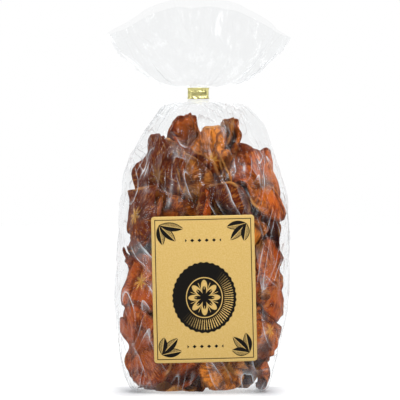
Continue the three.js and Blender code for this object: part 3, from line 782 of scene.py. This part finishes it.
class FRUIT_OT_slices(bpy.types.Operator):
    """Dried slices, each a wrinkled sheet with a curled rim over its solid in the frame"""

    bl_idname = "fruit.slices"
    bl_label = "Dried slices"

    def sheet(self, name, look):
        """The slice's mid surface in the frame, drawn finer from the middle to a little past the rim, and
        half of its thickness there."""
        rings = node_rings(name)
        half_count = len(rings) // 2
        upper = drawn_round(rings, look.around)
        face_a = np.stack(upper[:half_count])
        face_b = np.stack(upper[half_count:][::-1])
        middle = (face_a + face_b) / 2
        half = np.linalg.norm(face_a - face_b, axis=-1, keepdims=True) / 2
        at = run_along(middle)
        where = at[-1] * np.linspace(0, 1, look.rings + 1)
        turned = np.roll(middle[1:3][::-1], look.around // 2, axis=1)
        full_at = np.concatenate([-at[1:3][::-1], at])
        middle = hermite(np.concatenate([turned, middle]), full_at, where)
        past = middle[-1] + (middle[-1] - middle[-2]) * look.rings * look.past_rim
        return np.concatenate([middle, past[None]]), np.median(half[:-1])

    def outline(self, angle, draw, most):
        """How far a thin slice reaches at each angle, as a share of its solid: ragged, with a few notches,
        and on some slices cut straight across once or twice."""
        notches, most_cuts = 3, 2
        circle = np.stack([np.cos(angle), np.sin(angle)], axis=-1)
        seed = int(draw.integers(1000))
        reach = 0.985 + 0.035 * waves(circle, 1.1, seed) + 0.02 * waves(circle, 0.3, seed + 1)
        for _ in range(notches):
            at_angle, width, depth = draw.uniform((0, 0.05, 0.0), (TURN, 0.16, 0.14))
            off = np.abs((angle - at_angle + math.pi) % TURN - math.pi)
            reach -= depth * np.clip(1 - off / width, 0, 1)
        for _ in range(draw.integers(0, most_cuts + 1)):
            at_angle, chord = draw.uniform((0, 0.5), (TURN, 0.95))
            reach = np.minimum(reach, chord / np.maximum(np.cos(angle - at_angle), 0.2))
        return np.clip(reach, 0.3, most)

    def cut(self, sheet, reach, look):
        """The sheet from its middle out to reach, which is a share of the way to the rim at each ring and
        angle."""
        row = np.minimum(reach, 1.0) * look.rings
        low = np.minimum(row.astype(int), look.rings - 1)
        part = (row - low)[..., None]
        column = np.arange(look.around)[None]
        middle = sheet[low, column] * (1 - part) + sheet[low + 1, column] * part
        over = np.clip(reach - 1, 0, None) / look.past_rim
        return middle + (sheet[-1] - sheet[-2])[None] * over[..., None]

    def thin_slice(self, sheet, plate, look, seed, side):
        """One of the two thin slices that lie together over a solid, on the side of its mid surface given
        by side.

        It reaches as far as its outline does, and the lower one is slipped a little sideways. Both of its
        faces run from the middle to the rim, and wrinkles move them together. It is thinnest just inside
        the rim and rounds off to nothing at it."""
        draw = np.random.default_rng(seed)
        angle = np.arange(look.around) / look.around * TURN
        reach = self.outline(angle, draw, 1 + look.past_rim)
        closer_outwards = 0.85
        share = (np.linspace(0, 1, look.rings + 1) ** closer_outwards)[:, None]
        middle = self.cut(sheet, share * reach, look)
        centre = middle[0].mean(axis=0)
        sideways = sheet[look.rings, draw.integers(look.around)] - centre
        middle = middle + sideways * (look.slip if side < 0 else 0)
        normal = grid_normals(middle)
        first = normal[1].mean(axis=0)
        normal[0] = first / np.linalg.norm(first)
        circle = np.stack([np.cos(angle), np.sin(angle)], axis=-1)
        ridge = creases(middle, RIDGE_SIZE, seed + 3)
        fine = creases(middle, FINE_SIZE, seed + 4)
        swell = look.wrinkle * (share**0.7 * 2.2 * ridge + 0.1 * fine)
        curl = look.curl * share**4 * (0.5 + waves(circle, 0.9, seed + 5))
        lift = side * plate * look.apart + swell + side * curl
        middle = middle + normal * lift[..., None]
        rim_start = 0.95
        rim = np.sqrt(np.clip(1 - (np.clip(share - rim_start, 0, 1) / (1 - rim_start)) ** 2, 0, 1))
        uneven = 1 + 0.12 * waves(middle, 9 * MM, seed + 6)
        body = plate * look.flesh * uneven * (1 - 0.45 * smooth(0.6, rim_start, share))
        half = np.maximum(body, look.least_half) * rim
        faces = [middle + way * normal * half[..., None] for way in (1, -1)]
        above, below = faces[0][1:-1], faces[1][1:-1][::-1]
        edge = middle[-1:]
        grid = np.concatenate([above, edge, below])
        points = np.concatenate([faces[0][0].mean(0)[None], grid.reshape(-1, 3), faces[1][0].mean(0)[None]])
        quads, fans = ring_faces(len(grid), look.around, True, True)

        def spread(value):
            rows = np.concatenate([value[1:-1], value[-1:], value[1:-1][::-1]])
            ends = value[0].mean(axis=0)[None]
            return np.concatenate([ends, rows.reshape(-1, *rows.shape[2:]), ends])

        radius = share * reach
        plane = np.stack([radius * np.cos(angle), radius * np.sin(angle), 0 * radius + share], axis=-1)
        relief = 0.7 * ridge + 0.35 * fine + 0.3 * waves(middle, 20 * MM, seed + 8)
        star = draw.uniform(0.35, 0.75) if draw.random() < CLEAR_STARS else draw.uniform(0, 0.15)
        tint = draw.beta(1.0, 1.0)
        for x, z, paler, clearer in SPOTS:
            off = (centre[0] - x * MM) ** 2 + (centre[2] - z * MM) ** 2
            near = math.exp(-off / SPOT_REACH**2)
            tint += paler * near
            star += clearer * near
        everywhere = np.ones(len(points))
        values = {"relief": spread(relief), "tint": everywhere * tint, "star": everywhere * star}
        return points, faces_out(points, quads, fans), values, spread(plane)

    def one(self, name, look, seed, inside):
        """The two thin slices over one solid, as one object."""
        sheet, plate = self.sheet(name, look)
        first = self.thin_slice(sheet, plate, look, seed, 1)
        second = self.thin_slice(sheet, plate, look, seed + 20, -1)
        points = inside(np.concatenate([first[0], second[0]]), look.wall_gap)
        moved = [[k + len(first[0]) for k in face] for face in second[1]]
        values = {title: np.concatenate([first[2][title], second[2][title]]) for title in first[2]}
        fields = {"slice_plane": np.concatenate([first[3], second[3]])}
        return write_mesh(name.replace("persimmon_", "dried_"), points, first[1] + moved, values, fields)

    def execute(self, context):
        look = context.scene.bag_slices
        material = fruit_material(look)
        inside = film_wall()
        for k, name in enumerate(SLICE_NODES):
            piece = self.one(name, look, 40 * k + 11, inside)
            dressed(piece, name, material)
        return {"FINISHED"}


def label_front():
    """The label in the frame as a function that gives y at x and z: a polynomial fitted to its solid's
    points."""
    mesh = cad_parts["paper_label"].data
    points = np.empty(len(mesh.vertices) * 3)
    mesh.vertices.foreach_get("co", points)
    points = points.reshape(-1, 3)
    middle = (label_low + label_high) / 2
    reach_x, reach_z = 40 * MM, 50 * MM

    def terms(x, z):
        across, up = (x - middle[0]) / reach_x, (z - middle[2]) / reach_z
        return np.stack([across**i * up**j for i in range(6) for j in range(4)], axis=-1)

    fit = np.linalg.lstsq(terms(points[:, 0], points[:, 2]), points[:, 1], rcond=None)[0]
    return lambda x, z: terms(x, z) @ fit


class FRUIT_OT_film(bpy.types.Operator):
    """The film: one thin skin from the base to the header's mouth"""

    bl_idname = "fruit.film"
    bl_label = "Film bag"

    def execute(self, context):
        """The film's rows in the frame are drawn finer by smooth curves, then moved along their normals by
        facets and pleats. Pleats run along the film, are deepest just off the clip, and fade away from it.
        Facets fade out at the foot, at the clip and under the label."""
        look = context.scene.bag_film
        rings = node_rings("film_bag")
        rings = rings[: len(rings) // 2]
        rows = np.stack(drawn_round(rings, look.around))
        at = run_along(rows)
        where = np.linspace(0, at[-1], int(at[-1] / look.step))
        grid = hermite(rows, at, where)
        normal = grid_normals(grid)
        outward = grid - np.array([NECK[0], NECK[1], 0])
        body_row = len(grid) // 3
        if (normal[body_row] * outward[body_row]).sum() < 0:
            normal = -normal
        height = grid[..., 2]
        low, high = clip_low[2], clip_high[2]
        off_neck = np.maximum(np.maximum(low - height, height - high), 0)
        angle = np.arctan2(grid[..., 1] - NECK[1], (grid[..., 0] - NECK[0]))
        ring = np.stack([np.cos(angle), np.sin(angle)], axis=-1)
        above = smooth(high - 2 * MM, high + 2 * MM, height)
        clip_row = int(np.argmin(np.abs(height.mean(axis=1) - high)))
        past_clip = np.where(where[:, None] > where[clip_row], 1.0, 0.0)

        pleats = np.abs(waves(ring, 0.30, 5)) + 0.6 * np.abs(waves(ring, 0.14, 6)) - 0.8
        shoulder_reach, header_reach = 26 * MM, 60 * MM
        fade = np.exp(-off_neck / shoulder_reach) * smooth(0.5 * MM, 9 * MM, off_neck)
        header_fade = smooth(0, 10 * MM, off_neck) * np.exp(-off_neck / header_reach)
        depth = look.pleat * (pleats * fade * (1 - past_clip) + 1.1 * pleats * header_fade * past_clip)

        tall = grid * np.array([1, 1, 0.45])
        facets = creases(tall, 34 * MM, 21) + 0.55 * creases(tall, 15 * MM, 22)
        facets = facets + 0.15 * creases(tall, 7 * MM, 23)
        quiet = smooth(2 * MM, 16 * MM, height) * smooth(1 * MM, 14 * MM, off_neck)
        from_label = np.maximum(
            np.maximum(label_low[0] - grid[..., 0], grid[..., 0] - label_high[0]),
            np.maximum(label_low[2] - height, height - label_high[2]),
        )
        under_label = np.where(grid[..., 1] < NECK[1], smooth(-1 * MM, 12 * MM, from_label), 1)
        rough = 1.0 - 0.35 * smooth(120 * MM, 190 * MM, height) + 0.1 * above
        depth += look.crumple * facets * quiet * rough * np.maximum(under_label, 0.05)
        grid = grid + normal * depth[..., None]
        grid[..., 2] = np.maximum(grid[..., 2], 0)
        points = np.concatenate([grid[0].mean(0)[None], grid[1:].reshape(-1, 3)])
        quads, fans = ring_faces(len(grid) - 1, look.around, True, False)
        piece = write_mesh("clear_film", points, faces_out(points, quads, fans))
        dressed(piece, "film_bag", film_material(look))
        return {"FINISHED"}


class FRUIT_OT_label(bpy.types.Operator):
    """The paper label, bent round the front of the film"""

    bl_idname = "fruit.label"
    bl_label = "Paper label"

    def execute(self, context):
        """A grid of two directions over the label, about one point to a millimetre, whose corner points
        slide in to round the corners. It follows the label in the frame, and has a back face and a thin
        edge."""
        look = context.scene.bag_label
        front = label_front()
        middle = (label_low + label_high) / 2 + np.array([0, 0, look.raised])
        tilt = math.radians(LABEL_TILT)
        across, up = int(look.width) + 1, int(look.height) + 1
        u, v = np.meshgrid(np.linspace(-1, 1, across), np.linspace(-1, 1, up), indexing="xy")
        half_w, half_h, corner = look.width / 2, look.height / 2, look.corner
        x, y = u * half_w, v * half_h
        past_x, past_y = np.abs(x) - (half_w - corner), np.abs(y) - (half_h - corner)
        in_corner = (past_x > 0) & (past_y > 0)
        above_zero = 1e-6
        reach = np.maximum(np.hypot(past_x, past_y), above_zero)
        square = np.maximum(past_x, past_y)
        pull = np.where(in_corner, square / reach, 1)
        x = np.where(in_corner, np.sign(x) * (half_w - corner + past_x * pull), x)
        y = np.where(in_corner, np.sign(y) * (half_h - corner + past_y * pull), y)
        world_x = middle[0] + (x * math.cos(tilt) - y * math.sin(tilt)) * MM
        world_z = middle[2] + (x * math.sin(tilt) + y * math.cos(tilt)) * MM
        depth = front(world_x, world_z) + look.set_back
        ripple = look.ripple * waves(np.stack([world_x, world_z], axis=-1), 40 * MM, 3)
        face = np.stack([world_x, depth + ripple, world_z], axis=-1)
        back = face + np.array([0, look.thickness, 0])
        plane = np.stack([x, y, 0 * x], axis=-1)
        points = np.concatenate([face.reshape(-1, 3), back.reshape(-1, 3)])
        row, k = np.meshgrid(np.arange(up - 1), np.arange(across - 1), indexing="ij")
        a = (row * across + k).ravel()
        quads = np.stack([a, a + 1, a + across + 1, a + across], axis=-1)
        rim = np.concatenate(
            [
                np.arange(across),
                np.arange(1, up) * across + across - 1,
                (up - 1) * across + np.arange(across - 2, -1, -1),
                np.arange(up - 2, 0, -1) * across,
            ]
        )
        after = np.roll(rim, -1)
        behind = across * up
        sides = np.stack([after, rim, rim + behind, after + behind], axis=-1)
        faces = np.concatenate([quads, quads[:, ::-1] + behind, sides]).tolist()
        fields = {"label_plane": np.concatenate([plane.reshape(-1, 3)] * 2)}
        piece = write_mesh("label_sheet", points, faces, None, fields)
        dressed(piece, "paper_label", label_material(look))
        return {"FINISHED"}


class FRUIT_OT_clip(bpy.types.Operator):
    """The gold band that is crimped round the gathered film"""

    bl_idname = "fruit.clip"
    bl_label = "Clip band"

    def execute(self, context):
        """A stadium carried up the band's height. The band is drawn in at mid height and flares at both
        edges, and two shallow grooves run round it. It goes up the outside and down the inside."""
        look = context.scene.bag_clip
        around, up = 160, 25
        size = (clip_high - clip_low)[:2]
        arc = size[1] / 2
        straight = size[0] / 2 - arc
        angle = -np.arange(around) / around * TURN
        out = np.stack([np.cos(angle), np.sin(angle)], axis=-1)
        base = out * arc + np.stack([np.clip(out[:, 0] * 4, -1, 1) * straight, 0 * angle], axis=-1)
        rise = np.linspace(-1, 1, up)
        groove_at, groove_width = 0.5, 0.12
        grooves = np.exp(-(((np.abs(rise) - groove_at) / groove_width) ** 2))
        swell = look.flare * (rise**4 - 0.5) - look.groove * grooves
        pinch = look.pinch * waves(out, 0.8, 4)[None, :] * (1 - rise[:, None] ** 2)
        half_height = (clip_high[2] - clip_low[2]) / 2
        rows = []
        for offset, order in ((0.0, 1), (-look.thickness, -1)):
            shift = (swell[:, None] + pinch + offset)[::order]
            flat = base[None] + out[None] * shift[..., None]
            z = np.broadcast_to((NECK[2] + rise * half_height)[::order][:, None, None], (*flat.shape[:2], 1))
            rows.append(np.concatenate([flat + NECK[None, None, :2], z], axis=-1))
        grid = np.concatenate([rows[0], rows[1], rows[0][:1]])
        points = grid[:-1].reshape(-1, 3)
        quads, _ = ring_faces(len(grid), around, False, False)
        quads = quads % len(points)
        piece = write_mesh("gold_band", points, faces_out(points, quads, []))
        dressed(piece, "clip_band", clip_material(look))
        return {"FINISHED"}


class FRUIT_OT_studio(bpy.types.Operator):
    """A white floor, soft lights and the camera"""

    bl_idname = "fruit.studio"
    bl_label = "Studio"

    def softbox(self, name, place, size, power):
        light = bpy.data.lights.new(name, "AREA")
        light.shape = "RECTANGLE"
        light.size, light.size_y = size
        light.energy = power
        self.aimed(name, light, Vector(place), Vector((NECK[0], 0, 0.13)))

    def aimed(self, name, data, place, target):
        """A new object at place that looks at target."""
        made = bpy.data.objects.new(name, data)
        made.location = place
        made.rotation_euler = (target - place).to_track_quat("-Z", "Y").to_euler()
        bpy.context.scene.collection.objects.link(made)
        return made

    def execute(self, context):
        look = context.scene.bag_studio
        scene = context.scene
        scene.view_settings.view_transform = "Standard"
        corners = np.array([[-1, -1, 0], [1, -1, 0], [1, 1, 0], [-1, 1, 0]]) * FLOOR_HALF
        floor = write_mesh("floor", corners - [0, 0, 0.2 * MM], [(0, 1, 2, 3)])
        floor.data.materials.append(floor_material(look))
        scene.world = white_room(look)
        for name, (place, size, power) in SOFTBOXES.items():
            self.softbox(name, place, size, power)
        camera = bpy.data.cameras.new("camera")
        camera.lens = camera.sensor_width * look.distance / look.frame_height
        camera.clip_start = 0.05
        target = Vector((NECK[0] + look.aim_x, 0, look.aim_z))
        scene.camera = self.aimed("camera", camera, target - Vector((0, look.distance, 0)), target)
        return {"FINISHED"}


STEPS = (FRUIT_OT_slices, FRUIT_OT_film, FRUIT_OT_label, FRUIT_OT_clip, FRUIT_OT_studio)
LOOKS = {
    "bag_film": FilmLook,
    "bag_slices": SliceLook,
    "bag_label": LabelLook,
    "bag_clip": ClipLook,
    "bag_studio": StudioLook,
}


class FRUIT_PT_bag(bpy.types.Panel):
    """The bag's pieces, in the order in which they are made"""

    bl_idname = "FRUIT_PT_bag"
    bl_label = "Fruit Bag"
    bl_space_type = "VIEW_3D"
    bl_region_type = "UI"
    bl_category = "Fruit Bag"

    def draw(self, context):
        for step in STEPS:
            self.layout.operator(step.bl_idname)


def register():
    for kind in (*LOOKS.values(), *STEPS, FRUIT_PT_bag):
        bpy.utils.register_class(kind)
    for name, look in LOOKS.items():
        setattr(bpy.types.Scene, name, PointerProperty(type=look))


def unregister():
    for name in LOOKS:
        delattr(bpy.types.Scene, name)
    for kind in reversed((*LOOKS.values(), *STEPS, FRUIT_PT_bag)):
        bpy.utils.unregister_class(kind)


def main():
    register()
    bpy.ops.fruit.slices()
    bpy.ops.fruit.film()
    bpy.ops.fruit.label()
    bpy.ops.fruit.clip()
    bpy.ops.fruit.studio()


if __name__ == "__main__":
    main()
